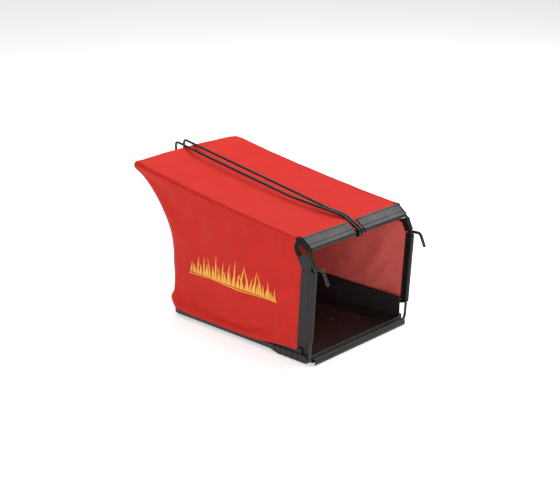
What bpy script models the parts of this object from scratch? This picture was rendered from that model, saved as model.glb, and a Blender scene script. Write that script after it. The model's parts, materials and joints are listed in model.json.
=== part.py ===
"""Grass catcher of a reel mower: moulded floor tray, bent wire frame, clip strips, fabric bag and a
hanger bail that swings on the frame's top bar.

X is the width, +Y points to the rear of the bag, +Z is up. The shapes are drawn with the frame's
front bend at y = 0, and an empty then moves them so that the origin lies under the middle of the box.
"""
import math

import bmesh
import bpy
from mathutils import Matrix, Vector

# ---- clearances and sheet thicknesses -------------------------------------------------------
TOUCH_GAP = 0.0003          # between pieces that rest on each other
FABRIC = 0.0015             # bag cloth with its coating
FABRIC_LIFT = 0.0012        # cloth lies this far outside the frame wire's centre
SEAM_GAP = 0.0005           # between two sewn panels

# ---- frame wire -----------------------------------------------------------------------------
WIRE_RADIUS = 0.003
FRAME_HALF = 0.155          # wire centre to the middle of the mouth
BASE_BAR_Y = 0.0125         # lower bar, inside the sill
BASE_BAR_Z = 0.0065
BEND_HEIGHT = 0.209         # the uprights bend back here, and the side hooks are welded on
SHOULDER_RISE = 0.037       # from the bend to the top bar
TOP_BAR_Y = 0.018
BASE_CORNER = 0.014         # bend radii along the wire's centre
FRONT_BEND = 0.010
TOP_CORNER = 0.006

# ---- side hooks -----------------------------------------------------------------------------
HOOK_REACH = 0.0215         # from the frame wire to the corner of the hook
HOOK_DROP = 0.025
HOOK_SPREAD = 0.012         # the point of the hook runs on forwards by this
HOOK_CORNER = 0.009
HOOK_ROOT_LIFT = 0.001      # the hook leaves the wire just above the bend

# ---- clip strips ----------------------------------------------------------------------------
STRIP_WALL = 0.0018
STRIP_CLEARANCE = 0.0003    # bore of the clip over the wire
TOP_FLANGE = 0.029
SHOULDER_FLANGE = 0.029
SIDE_FLANGE = 0.031
TOP_STRIP_TILT = math.radians(36)
TOP_STRIP_GAP = 0.014       # half of the gap in which the bail swings
STRIP_END = 0.006           # bare wire left at the front bend
SIDE_STRIP_FOOT = 0.033     # height of the flange's lower end
CLIP_FOOT = 0.052           # the clip itself ends higher up, above the wire's lower bend
CLIP_FOOT_BACK = 0.0165     # rear edge of what is cut away below it
FLANGE_TO_CLOTH = 0.001     # from the flange's rear edge to where the bag's top starts its own line
MITRE_LIMIT = 0.2           # least cosine at a bend of a sheet's outline
OVERLAP = 0.0004            # moulded-in pieces run this far into each other
CLIP_WRAP = math.radians(170)

# ---- sill -----------------------------------------------------------------------------------
SILL_WALL = 0.0015
SILL_END_INSET = 0.0085     # from the uprights' centres, where the wire turns up
SILL_ROOM_FRONT = 0.0044    # inside the profile, in front of the wire
SILL_ROOM_REAR = 0.0034
SILL_ROOM_TOP = 0.0025
SILL_REAR_FOOT = 0.002

# ---- floor tray -----------------------------------------------------------------------------
TRAY_WALL = 0.0022
TRAY_WALL_INSET = 0.006     # tray wall's outer face, in from the wire's centre
TRAY_HEIGHT = 0.060
TRAY_FLOOR = 0.008          # underside of the floor
TRAY_REAR = 0.413
TRAY_CORNER = 0.016
LEDGE_OUT = 0.001           # ledge's edge, out from the wire's centre
LEDGE_TOP = 0.0185
LEDGE_REACH = 0.007         # how far the ledge stands out behind
LIP_HEIGHT = 0.0152
BLOCK_BOTTOM = 0.0025       # deeper block behind the sill
BLOCK_REAR = 0.100
BLOCK_SLOPE = 0.022
HEEL_BACK_INSET = 0.009
HEEL_DEPTH = 0.020
HEEL_END_INSET = 0.029
FLOOR_RIBS = 5
FLOOR_RIB_PITCH = 0.0455
FLOOR_RIB_FRONT = 0.140     # middle rib; the outer ones start further forward
FLOOR_RIB_BOW = 6.0         # by this times their distance squared, in metres
FLOOR_RIB_REAR_GAP = 0.025
FLOOR_RIB_RADIUS = 0.008
FLOOR_RIB_RISE = 0.005
BLOCK_RIBS = 5
BLOCK_RIB_PITCH = 0.016
BLOCK_RIB_FRONT = 0.044
BLOCK_RIB_WIDTH = 0.003
BLOCK_RIB_PROUD = 0.0012

# ---- bag ------------------------------------------------------------------------------------
BAG_OVERHANG = 0.1055       # how far the top reaches back past the tray's back wall
BAG_RISE = 0.0865           # rear top edge above the top bar
BAG_REAR_FOLD = 0.0175      # upright strip below the rear top edge
TRAY_TO_CLOTH = 0.007       # from the tray's back wall to the cloth's outer face
TOP_SAG = 0.005             # the top dips this far below a straight line
FLARE_FOOT = 0.130          # the back wall leans out above this height
FLARE_POWER = 2.2
BAG_FOOT_LIFT = 0.002       # lower edge of the cloth, above the tray's ledge
EDGE_BACK = 0.005           # front edge of the cloth, behind the wire's centre
NOTCH_HALF = 0.0095          # notch in the top's front edge, clear of the bail
NOTCH_REAR = 0.058
RING_OUTER = 0.0225         # bound opening round each top corner of the frame
RING_INNER = 0.012
RING_SHIFT = 0.0115         # from the top bar back to the middle of the opening
RING_ENDS = (-50, 60)       # degrees above level, clear of the strips
RING_TUCK = 0.003           # the cloth reaches this far in under the binding
RING_CLOTH_ENDS = (-58, 54)
RING_TO_ROOF = 0.002        # the side's top edge starts this far behind the opening
BINDING = 0.0015
SHOULDER_EDGE_END = 0.018   # the side's front edge leaves the shoulder this far before the top bar
BOW_RADIUS = 0.002          # spring wire in the top seams
BOW_INSET = 0.005
BOW_DROP = 0.0055
BOW_START = 0.0015          # behind the strip's flange
BOW_CORNER = 0.020
HEM_HEIGHT = 0.0125
HEM_THICKNESS = 0.002
HEM_OUT = 0.003             # hem strip's outer face, in from the cloth's inner face

# ---- bail -----------------------------------------------------------------------------------
BAIL_RADIUS = 0.0025
BAIL_CLEARANCE = 0.0008     # between the eye and the top bar
BAIL_CLOSE = 0.0042         # half spacing at the eye
BAIL_WIDE = 0.0125          # half spacing over the bag
BAIL_CLOSE_END = 0.105      # the legs spread between these two places
BAIL_WIDE_START = 0.195
BAIL_NECK_AHEAD = 0.002     # the neck bends just in front of the notch's rear edge
BAIL_NECK_LIFT = 0.0052     # wire's centre above the bag's top
BAIL_LIFT = 0.0044
BAIL_REAR_LIFT = 0.0098
BAIL_REAR_REACH = 0.0205    # hook's leg, behind the bag's rear edge
BAIL_LEG_DROP = 0.0145      # end of the leg, below the bag's rear edge
BAIL_HOOK_CORNER = 0.0075
BAIL_EYE_WRAP = math.radians(213)

# ---- sizes worked out from the ones above ---------------------------------------------------
TOP_BAR_Z = BEND_HEIGHT + SHOULDER_RISE
SILL_HALF = FRAME_HALF - SILL_END_INSET
SILL_FRONT = BASE_BAR_Y - WIRE_RADIUS - SILL_ROOM_FRONT - SILL_WALL
SILL_REAR = BASE_BAR_Y + WIRE_RADIUS + SILL_ROOM_REAR + SILL_WALL
SILL_HEIGHT = BASE_BAR_Z + WIRE_RADIUS + SILL_ROOM_TOP + SILL_WALL
CLIP_BORE = WIRE_RADIUS + STRIP_CLEARANCE
CLIP_OUTER = CLIP_BORE + STRIP_WALL
CLOTH_INNER = FRAME_HALF + FABRIC_LIFT
CLOTH_OUTER = CLOTH_INNER + FABRIC
PANEL_HALF = CLOTH_INNER - SEAM_GAP
TRAY_HALF = FRAME_HALF - TRAY_WALL_INSET
TRAY_FRONT = SILL_REAR + 2 * TOUCH_GAP
FLOOR_TOP = TRAY_FLOOR + TRAY_WALL
LEDGE_HALF = FRAME_HALF + LEDGE_OUT
BAG_BASE_REAR = TRAY_REAR + TRAY_TO_CLOTH
BAG_REAR = BAG_BASE_REAR + BAG_OVERHANG
BAG_REAR_HEIGHT = TOP_BAR_Z + BAG_RISE
FLARE_TOP = BAG_REAR_HEIGHT - BAG_REAR_FOLD
BAG_FOOT = LEDGE_TOP + BAG_FOOT_LIFT
FAR = 1.0                   # cutters run this far past what they cut


def clear_scene():
    for obj in list(bpy.data.objects):
        bpy.data.objects.remove(obj, do_unlink=True)


def new_collection(name):
    collection = bpy.data.collections.new(name)
    bpy.context.scene.collection.children.link(collection)
    return collection


def new_material(name, colour, roughness, metallic=0.0):
    material = bpy.data.materials.new(name)
    material.use_nodes = True
    shader = material.node_tree.nodes["Principled BSDF"]
    shader.inputs["Base Color"].default_value = (*colour, 1.0)
    shader.inputs["Roughness"].default_value = roughness
    shader.inputs["Metallic"].default_value = metallic
    return material


# ---- drawing helpers ------------------------------------------------------------------------
def fillet(before, corner, after, radius, steps=6):
    """Points of the arc that rounds a corner between two straight runs."""
    back = (before - corner).normalized()
    ahead = (after - corner).normalized()
    half_angle = back.angle(ahead) / 2
    reach = radius / math.tan(half_angle)
    centre = corner + (back + ahead).normalized() * (radius / math.sin(half_angle))
    start = corner + back * reach - centre
    turn = math.pi - 2 * half_angle
    axis = back.cross(ahead).normalized()
    return [centre + Matrix.Rotation(-turn * step / steps, 3, axis) @ start for step in range(steps + 1)]


def rounded_path(corners, radii, closed=False):
    """A run of straight pieces whose corners are rounded; a radius of 0 leaves a plain point."""
    count = len(corners)
    path = []
    for index, (corner, radius) in enumerate(zip(corners, radii)):
        is_end = not closed and index in (0, count - 1)
        if is_end or radius == 0:
            path.append(corner)
        else:
            path += fillet(corners[index - 1], corner, corners[(index + 1) % count], radius)
    return path


def add_object(name, data, material, collection, parent):
    obj = bpy.data.objects.new(name, data)
    collection.objects.link(obj)
    obj.parent = parent
    if material:
        data.materials.append(material)
    return obj


def rod(name, path, radius, material, collection, parent, closed=False):
    curve = bpy.data.curves.new(name, "CURVE")
    curve.dimensions = "3D"
    curve.bevel_depth = radius
    curve.bevel_resolution = 2
    curve.use_fill_caps = True
    spline = curve.splines.new("POLY")
    spline.points.add(len(path) - 1)
    for point, place in zip(spline.points, path):
        point.co = (*place, 1.0)
    spline.use_cyclic_u = closed
    return add_object(name, curve, material, collection, parent)


def plate(name, outline, thickness, placing, material, collection, parent):
    """A flat outline made solid; placing turns its own X, Y and Z to where the piece lies."""
    curve = bpy.data.curves.new(name, "CURVE")
    curve.dimensions = "2D"
    curve.fill_mode = "BOTH"
    curve.extrude = thickness / 2
    spline = curve.splines.new("POLY")
    spline.points.add(len(outline) - 1)
    for point, (across, up) in zip(spline.points, outline):
        point.co = (across, up, 0.0, 1.0)
    spline.use_cyclic_u = True
    obj = add_object(name, curve, material, collection, parent)
    obj.matrix_local = placing
    return obj


def as_mesh(obj):
    """The same piece as a welded mesh, which a Boolean can cut."""
    bpy.context.view_layer.update()
    evaluated = obj.evaluated_get(bpy.context.evaluated_depsgraph_get())
    mesh = bpy.data.meshes.new_from_object(evaluated)
    shape = bmesh.new()
    shape.from_mesh(mesh)
    bmesh.ops.remove_doubles(shape, verts=shape.verts, dist=0.00001)
    bmesh.ops.recalc_face_normals(shape, faces=shape.faces)
    shape.to_mesh(mesh)
    shape.free()
    name = obj.name
    collection = obj.users_collection[0]
    parent = obj.parent
    placing = obj.matrix_local.copy()
    bpy.data.objects.remove(obj, do_unlink=True)
    solid = add_object(name, mesh, None, collection, parent)
    solid.matrix_local = placing
    return solid


def thick_line(path, thickness):
    """Outline of a bent sheet: the path, and the same path offset to its left by the thickness."""
    offset = []
    for index, point in enumerate(path):
        before = path[max(index - 1, 0)]
        after = path[min(index + 1, len(path) - 1)]
        into = (point - before).normalized() if index else (after - point).normalized()
        out = (after - point).normalized() if index < len(path) - 1 else into
        normal = Vector((-into.y - out.y, into.x + out.x)).normalized()
        offset.append(point + normal * thickness / max(normal.dot(Vector((-out.y, out.x))), MITRE_LIMIT))
    return path + offset[::-1]


def block(name, low, high, collection, parent, rear_radius=0.0):
    """A box; its two upright rear edges can be rounded."""
    mesh = bpy.data.meshes.new(name)
    shape = bmesh.new()
    size = Vector(high) - Vector(low)
    centre = (Vector(high) + Vector(low)) / 2
    bmesh.ops.create_cube(shape, size=1.0, matrix=Matrix.Translation(centre) @ Matrix.Diagonal((*size, 1.0)))
    if rear_radius > 0:
        rear = [edge for edge in shape.edges
                if all(vert.co.y > centre.y for vert in edge.verts)
                and abs(edge.verts[0].co.z - edge.verts[1].co.z) > size.z / 2]
        bmesh.ops.bevel(shape, geom=rear, offset=rear_radius, segments=8, profile=0.5, affect="EDGES")
    shape.to_mesh(mesh)
    shape.free()
    return add_object(name, mesh, None, collection, parent)


def cut(obj, tool, operation="DIFFERENCE"):
    tool.hide_render = True
    tool.display_type = "WIRE"
    modifier = obj.modifiers.new(tool.name, "BOOLEAN")
    modifier.operation = operation
    modifier.solver = "EXACT"
    modifier.object = tool


def axes(along_x, along_y, along_z, place):
    """Matrix that turns a piece's own axes to the three given ones and moves it to a place."""
    turned = Matrix((along_x, along_y, along_z)).transposed().to_4x4()
    turned.translation = place
    return turned


def from_side(y, z, x=0.0):
    return Vector((x, y, z))


SIDE_VIEW = axes(Vector((0, 1, 0)), Vector((0, 0, 1)), Vector((1, 0, 0)), Vector((0, 0, 0)))

# ---- points of the frame in its side view ---------------------------------------------------
BASE_POINT = Vector((BASE_BAR_Y, BASE_BAR_Z))
BEND_POINT = Vector((0.0, BEND_HEIGHT))
TOP_POINT = Vector((TOP_BAR_Y, TOP_BAR_Z))
UPRIGHT = (BASE_POINT - BEND_POINT).normalized()
SHOULDER = (TOP_POINT - BEND_POINT).normalized()


def rearwards(direction):
    """Square to a wire in the side view, pointing to the rear."""
    square = Vector((direction.y, -direction.x))
    return square if square.x > 0 else -square


# ---- frame and hooks ------------------------------------------------------------------------
def make_frame(steel, collection, parent):
    left = [from_side(*point, -FRAME_HALF) for point in (BASE_POINT, BEND_POINT, TOP_POINT)]
    right = [from_side(*point, FRAME_HALF) for point in (TOP_POINT, BEND_POINT, BASE_POINT)]
    radii = [BASE_CORNER, FRONT_BEND, TOP_CORNER, TOP_CORNER, FRONT_BEND, BASE_CORNER]
    path = rounded_path(left + right, radii, closed=True)
    rod("frame_wire", path, WIRE_RADIUS, steel, collection, parent, closed=True)


def make_side_hooks(steel, collection, parent):
    for side, name in ((-1, "hook_left"), (1, "hook_right")):
        corners = [
            from_side(-WIRE_RADIUS, BEND_HEIGHT + WIRE_RADIUS, side * FRAME_HALF),
            from_side(-HOOK_REACH, BEND_HEIGHT + WIRE_RADIUS + HOOK_ROOT_LIFT, side * FRAME_HALF),
            from_side(-HOOK_REACH - HOOK_SPREAD, BEND_HEIGHT + WIRE_RADIUS - HOOK_DROP, side * FRAME_HALF),
        ]
        path = rounded_path(corners, [0, HOOK_CORNER, 0])
        rod(name, path, WIRE_RADIUS, steel, collection, parent)


# ---- clip strips ----------------------------------------------------------------------------
def clip_outline(flange):
    """Section of a clip strip round a wire at its origin, its flange along +X on the +Y side."""
    path = [Vector((flange, CLIP_OUTER))]
    steps = 10
    for step in range(steps + 1):
        angle = math.pi / 2 + CLIP_WRAP * step / steps
        path.append(Vector((math.cos(angle), math.sin(angle))) * CLIP_OUTER)
    return thick_line(path, STRIP_WALL)


def strip(name, flange, start, end, back, out, plastic, collection, parent):
    """A clip strip on the wire between two points, with its flange to the back and its face out."""
    placing = axes(back, out, back.cross(out), (start + end) / 2)
    return plate(name, clip_outline(flange), (end - start).length, placing, plastic, collection, parent)


def mitre_tool(cutters, parent):
    """Cuts the side strips' upper ends to a slope that clears the shoulder strips' rear corners."""
    clear = Vector((0, -2 * SEAM_GAP))
    front = BEND_POINT + UPRIGHT * STRIP_END + clear
    rear = BEND_POINT + SHOULDER * STRIP_END + rearwards(SHOULDER) * SHOULDER_FLANGE + clear
    along = rear - front
    up = Vector((0, STRIP_END * 4))
    outline = [front - along, rear + along, rear + along + up, front - along + up]
    tool = plate("strip_mitre", outline, 4 * FRAME_HALF, SIDE_VIEW, None, cutters, parent)
    return as_mesh(tool)


def make_strips(plastic, collection, cutters, parent):
    back = from_side(math.cos(TOP_STRIP_TILT), math.sin(TOP_STRIP_TILT))
    out = from_side(-math.sin(TOP_STRIP_TILT), math.cos(TOP_STRIP_TILT))
    shoulder_length = (TOP_POINT - BEND_POINT).length
    foot = (BEND_HEIGHT - SIDE_STRIP_FOOT) / -UPRIGHT.y
    mitre = mitre_tool(cutters, parent)
    notch = block("clip_foot_notch", (-FAR, -FAR, -FAR), (FAR, CLIP_FOOT_BACK, CLIP_FOOT), cutters, parent)
    for side, word in ((-1, "left"), (1, "right")):
        inner = from_side(*TOP_POINT, side * TOP_STRIP_GAP)
        outer = from_side(*TOP_POINT, side * (FRAME_HALF - TOP_CORNER))
        strip("top_strip_" + word, TOP_FLANGE, inner, outer, back, out, plastic, collection, parent)
        outward = Vector((side, 0, 0))
        runs = (
            ("shoulder_strip_", SHOULDER_FLANGE, SHOULDER, STRIP_END, shoulder_length - TOP_CORNER),
            ("side_strip_", SIDE_FLANGE, UPRIGHT, STRIP_END / 2, foot),
        )
        for kind, flange, along, near, far in runs:
            start = from_side(*(BEND_POINT + along * near), side * FRAME_HALF)
            end = from_side(*(BEND_POINT + along * far), side * FRAME_HALF)
            to_rear = from_side(*rearwards(along))
            piece = strip(kind + word, flange, start, end, to_rear, outward, plastic, collection, parent)
            if kind == "side_strip_":
                piece = as_mesh(piece)
                cut(piece, mitre)
                cut(piece, notch)


# ---- sill and tray --------------------------------------------------------------------------
def make_sill(plastic, collection, parent):
    front = SILL_FRONT
    rear = SILL_REAR
    edge = SILL_WALL
    path = [
        Vector((rear, SILL_REAR_FOOT)),
        Vector((rear, SILL_HEIGHT - edge)),
        Vector((rear - edge, SILL_HEIGHT)),
        Vector((front + edge, SILL_HEIGHT)),
        Vector((front, SILL_HEIGHT - edge)),
        Vector((front, 0.0)),
    ]
    outline = thick_line(path, SILL_WALL)
    plate("front_sill_profile", outline, 2 * SILL_HALF, SIDE_VIEW, plastic, collection, parent)


def make_tray(plastic, collection, cutters, parent):
    ledge_rear = TRAY_REAR + LEDGE_REACH
    skirt = TRAY_WALL
    tray = block("floor_tray", (-LEDGE_HALF, TRAY_FRONT, TRAY_FLOOR), (LEDGE_HALF, ledge_rear, LEDGE_TOP),
                 collection, parent, TRAY_CORNER + LEDGE_REACH)
    tray.data.materials.append(plastic)
    under_ledge = block("under_ledge", (skirt - LEDGE_HALF, TRAY_FRONT + skirt, -FAR),
                        (LEDGE_HALF - skirt, ledge_rear - skirt, LEDGE_TOP - skirt),
                        cutters, parent, TRAY_CORNER + LEDGE_REACH - skirt)
    walls = block("walls", (-TRAY_HALF, TRAY_FRONT + OVERLAP, TRAY_FLOOR + OVERLAP),
                  (TRAY_HALF, TRAY_REAR, TRAY_HEIGHT), cutters, parent, TRAY_CORNER)
    inside = block("inside", (TRAY_WALL - TRAY_HALF, -FAR, FLOOR_TOP),
                   (TRAY_HALF - TRAY_WALL, TRAY_REAR - TRAY_WALL, FAR),
                   cutters, parent, TRAY_CORNER - TRAY_WALL)
    cut(tray, under_ledge)
    cut(tray, walls, "UNION")
    cut(tray, inside)
    block_outline = [
        (TRAY_FRONT + OVERLAP, BLOCK_BOTTOM),
        (BLOCK_REAR, BLOCK_BOTTOM),
        (BLOCK_REAR + BLOCK_SLOPE, TRAY_FLOOR + OVERLAP),
        (BLOCK_REAR + BLOCK_SLOPE, FLOOR_TOP - OVERLAP),
        (TRAY_FRONT + OVERLAP, FLOOR_TOP - OVERLAP),
    ]
    deep = plate("deep_block", block_outline, 2 * (LEDGE_HALF - OVERLAP), SIDE_VIEW, None, cutters, parent)
    cut(tray, as_mesh(deep), "UNION")
    pocket = block("block_pocket", (skirt - LEDGE_HALF, TRAY_FRONT + OVERLAP + skirt, -FAR),
                   (LEDGE_HALF - skirt, BLOCK_REAR - skirt, TRAY_FLOOR + OVERLAP), cutters, parent)
    cut(tray, pocket)
    lip = block("front_lip", (-TRAY_HALF + OVERLAP, TRAY_FRONT + OVERLAP, TRAY_FLOOR + 2 * OVERLAP),
                (TRAY_HALF - OVERLAP, TRAY_FRONT + TRAY_WALL, LIP_HEIGHT), cutters, parent)
    cut(tray, lip, "UNION")
    heel_half = TRAY_HALF - HEEL_END_INSET
    heel_rear = TRAY_REAR - HEEL_BACK_INSET
    heel = block("heel", (-heel_half, heel_rear - HEEL_DEPTH, 0.0),
                 (heel_half, heel_rear, FLOOR_TOP - OVERLAP), cutters, parent)
    cut(tray, heel, "UNION")
    rib_rear = TRAY_REAR - TRAY_WALL - FLOOR_RIB_REAR_GAP
    for number in range(FLOOR_RIBS):
        x = (number - (FLOOR_RIBS - 1) / 2) * FLOOR_RIB_PITCH
        front = FLOOR_RIB_FRONT - FLOOR_RIB_BOW * x * x
        rib = floor_rib("floor_rib_%d" % (number + 1), x, front, rib_rear, cutters, parent)
        cut(tray, rib, "UNION")
    for side in (-1, 1):
        for number in range(BLOCK_RIBS):
            y = BLOCK_RIB_FRONT + number * BLOCK_RIB_PITCH
            inner = side * (LEDGE_HALF - skirt + OVERLAP)
            outer = side * (LEDGE_HALF + BLOCK_RIB_PROUD)
            low = (min(inner, outer), y, max(BLOCK_BOTTOM, block_underside(y + BLOCK_RIB_WIDTH)) + OVERLAP)
            high = (max(inner, outer), y + BLOCK_RIB_WIDTH, LEDGE_TOP - OVERLAP)
            name = "block_rib_%s_%d" % ("left" if side < 0 else "right", number + 1)
            cut(tray, block(name, low, high, cutters, parent), "UNION")


def block_underside(y):
    """Height of the tray's lower edge at a place along its length."""
    share = min(max((y - BLOCK_REAR) / BLOCK_SLOPE, 0.0), 1.0)
    return BLOCK_BOTTOM + (TRAY_FLOOR - BLOCK_BOTTOM) * share


def floor_rib(name, x, front, rear, cutters, parent):
    """A low stiffening rib, round on top and at both ends, sunk a little into the floor."""
    mesh = bpy.data.meshes.new(name)
    shape = bmesh.new()
    bmesh.ops.create_uvsphere(shape, u_segments=16, v_segments=8, radius=FLOOR_RIB_RADIUS)
    centre = FLOOR_TOP + FLOOR_RIB_RISE - FLOOR_RIB_RADIUS
    lower = FLOOR_TOP - 2 * OVERLAP
    for vert in shape.verts:
        is_rear = vert.co.y > 0.0001
        vert.co.y += rear if is_rear else front
        vert.co.z = max(vert.co.z + centre, lower)
        vert.co.x += x
    bmesh.ops.remove_doubles(shape, verts=shape.verts, dist=0.00001)
    bmesh.ops.recalc_face_normals(shape, faces=shape.faces)
    shape.to_mesh(mesh)
    shape.free()
    return add_object(name, mesh, None, cutters, parent)


# ---- bag ------------------------------------------------------------------------------------
def top_start():
    """Where the bag's top leaves the strip's flange, on its outer face."""
    back = Vector((math.cos(TOP_STRIP_TILT), math.sin(TOP_STRIP_TILT)))
    out = Vector((-back.y, back.x))
    return TOP_POINT + back * (TOP_FLANGE + FLANGE_TO_CLOTH) + out * (FABRIC_LIFT + FABRIC)


def top_height(y):
    """Outer face of the bag's top: a shallow sag between the strip and the rear edge."""
    start = top_start()
    share = (y - start.x) / (BAG_REAR - start.x)
    straight = start.y + (BAG_REAR_HEIGHT - start.y) * share
    return straight - 4 * TOP_SAG * share * (1 - share)


def rear_place(z):
    """Outer face of the bag's back wall, which leans out towards its top."""
    share = min(max((z - FLARE_FOOT) / (FLARE_TOP - FLARE_FOOT), 0.0), 1.0)
    return BAG_BASE_REAR + (BAG_REAR - BAG_BASE_REAR) * share ** FLARE_POWER


def top_line(steps=10):
    start = top_start().x
    places = [start + (BAG_REAR - start) * step / steps for step in range(steps + 1)]
    return [Vector((y, top_height(y))) for y in places]


def rear_line(steps=12):
    heights = [FLARE_TOP + (FLARE_FOOT - FLARE_TOP) * step / steps for step in range(steps + 1)]
    return [Vector((rear_place(z), z)) for z in heights]


def make_top_panel(cloth, collection, cutters, parent):
    back = Vector((math.cos(TOP_STRIP_TILT), math.sin(TOP_STRIP_TILT)))
    out = Vector((-back.y, back.x))
    front = TOP_POINT + back * EDGE_BACK + out * (FABRIC_LIFT + FABRIC)
    outline = thick_line((([front] + top_line()))[::-1], FABRIC)
    panel = plate("bag_top_panel", outline, 2 * PANEL_HALF, SIDE_VIEW, cloth, collection, parent)
    panel = as_mesh(panel)
    notch = block("bail_notch", (-NOTCH_HALF, -FAR, 0.0), (NOTCH_HALF, NOTCH_REAR, FAR), cutters, parent)
    cut(panel, notch)


def ring_arc(centre, radius, ends, steps=10):
    """Points of an arc seen from the side, between two angles in degrees."""
    angles = [math.radians(ends[0] + (ends[1] - ends[0]) * step / steps) for step in range(steps + 1)]
    return [centre + Vector((math.cos(angle), math.sin(angle))) * radius for angle in angles]


def make_side_panels(cloth, collection, parent):
    ring_centre = TOP_POINT + Vector((RING_SHIFT, 0.0))
    ring = RING_OUTER - RING_TUCK
    upright_foot = BEND_POINT + UPRIGHT * ((BEND_HEIGHT - BAG_FOOT) / -UPRIGHT.y)
    upright_back = rearwards(UPRIGHT) * EDGE_BACK
    shoulder_back = rearwards(SHOULDER) * EDGE_BACK
    bend_back = (upright_back + shoulder_back).normalized() * EDGE_BACK
    front = [upright_foot + upright_back, BEND_POINT + bend_back]
    shoulder_end = BEND_POINT + SHOULDER * ((TOP_POINT - BEND_POINT).length - SHOULDER_EDGE_END) + shoulder_back
    arc = ring_arc(ring_centre, ring, RING_CLOTH_ENDS)
    join = arc[-1].x + RING_TO_ROOF
    top = [Vector((join, top_height(join)))]
    top += [point for point in top_line() if point.x > join + RING_TO_ROOF]
    foot = Vector((BAG_BASE_REAR, BAG_FOOT))
    outline = front + [shoulder_end] + arc + top + rear_line() + [foot]
    for side, word in ((-1, "left"), (1, "right")):
        middle = side * (CLOTH_INNER + CLOTH_OUTER) / 2
        placing = Matrix.Translation((middle, 0, 0)) @ SIDE_VIEW
        plate("bag_side_panel_" + word, outline, FABRIC, placing, cloth, collection, parent)


def make_rear_panel(cloth, collection, parent):
    top = Vector((BAG_REAR, BAG_REAR_HEIGHT - FABRIC - 2 * TOUCH_GAP))
    foot = Vector((BAG_BASE_REAR, BAG_FOOT))
    outline = thick_line(([top] + rear_line() + [foot])[::-1], FABRIC)
    plate("bag_rear_panel", outline, 2 * PANEL_HALF, SIDE_VIEW, cloth, collection, parent)


def make_corner_bindings(tape, collection, parent):
    centre = TOP_POINT + Vector((RING_SHIFT, 0.0))
    outline = ring_arc(centre, RING_OUTER, RING_ENDS) + ring_arc(centre, RING_INNER, RING_ENDS)[::-1]
    for side, word in ((-1, "left"), (1, "right")):
        middle = side * (CLOTH_OUTER + TOUCH_GAP + BINDING / 2)
        placing = Matrix.Translation((middle, 0, 0)) @ SIDE_VIEW
        plate("corner_binding_" + word, outline, BINDING, placing, tape, collection, parent)


def make_support_bow(steel, collection, parent):
    leg_x = FRAME_HALF - BOW_INSET
    rear = BAG_REAR - 4 * BOW_RADIUS
    steps = 6
    front = top_start().x + BOW_START
    places = [front + (rear - front) * step / steps for step in range(steps + 1)]
    left = [from_side(y, top_height(y) - BOW_DROP, -leg_x) for y in places]
    right = [from_side(y, top_height(y) - BOW_DROP, leg_x) for y in reversed(places)]
    radii = [0] * steps + [BOW_CORNER, BOW_CORNER] + [0] * steps
    rod("support_bow", rounded_path(left + right, radii), BOW_RADIUS, steel, collection, parent)


def make_hem_strips(plastic, collection, parent):
    low = LEDGE_TOP + TOUCH_GAP
    front = TRAY_FRONT + SIDE_FLANGE / 2
    rear = TRAY_REAR - TRAY_CORNER
    outer = CLOTH_INNER - HEM_OUT
    for side, word in ((-1, "left"), (1, "right")):
        faces = sorted((side * outer, side * (outer - HEM_THICKNESS)))
        hem = block("hem_strip_" + word, (faces[0], front, low), (faces[1], rear, low + HEM_HEIGHT),
                    collection, parent)
        hem.data.materials.append(plastic)
    half = TRAY_HALF - TRAY_CORNER
    near = TRAY_REAR + (BAG_BASE_REAR - FABRIC - TRAY_REAR - HEM_THICKNESS) / 2
    hem = block("hem_strip_rear", (-half, near, low), (half, near + HEM_THICKNESS, low + HEM_HEIGHT),
                collection, parent)
    hem.data.materials.append(plastic)


# ---- bail -----------------------------------------------------------------------------------
def bail_half(side):
    """One leg of the bail, from its hook to the end of its turn round the top bar."""
    rear = BAG_REAR + BAIL_REAR_REACH
    neck = Vector((NOTCH_REAR - BAIL_NECK_AHEAD, top_height(NOTCH_REAR - BAIL_NECK_AHEAD) + BAIL_NECK_LIFT))
    corners = [
        from_side(rear, BAG_REAR_HEIGHT - BAIL_LEG_DROP, side * BAIL_WIDE),
        from_side(rear, BAG_REAR_HEIGHT + BAIL_REAR_LIFT, side * BAIL_WIDE),
        from_side(BAIL_WIDE_START, top_height(BAIL_WIDE_START) + BAIL_LIFT, side * BAIL_WIDE),
        from_side(BAIL_CLOSE_END, top_height(BAIL_CLOSE_END) + BAIL_LIFT, side * BAIL_CLOSE),
        from_side(*neck, side * BAIL_CLOSE),
    ]
    eye = WIRE_RADIUS + BAIL_CLEARANCE + BAIL_RADIUS
    towards_neck = neck - TOP_POINT
    leave = math.atan2(towards_neck.y, towards_neck.x) + math.acos(eye / towards_neck.length)
    turn = []
    steps = 14
    for step in range(steps + 1):
        angle = leave + BAIL_EYE_WRAP * step / steps
        place = TOP_POINT + Vector((math.cos(angle), math.sin(angle))) * eye
        turn.append(from_side(*place, side * BAIL_CLOSE))
    path = rounded_path(corners + turn[:1], [0, BAIL_HOOK_CORNER, 0.04, 0.04, 0.010, 0])
    ahead = leave + BAIL_EYE_WRAP + math.pi / 2
    return path + turn[1:], from_side(math.cos(ahead), math.sin(ahead))


def make_bail(steel, collection, pivot):
    left, ahead = bail_half(-1)
    right, ahead = bail_half(1)
    middle = (left[-1] + right[-1]) / 2
    loop = []
    steps = 8
    for step in range(1, steps):
        angle = math.pi * step / steps
        sideways = Vector((-math.cos(angle) * BAIL_CLOSE, 0, 0))
        loop.append(middle + sideways + ahead * math.sin(angle) * BAIL_CLOSE)
    path = [point - from_side(*TOP_POINT) for point in left + loop + right[::-1]]
    rod("bail_wire", path, BAIL_RADIUS, steel, collection, pivot)


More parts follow.
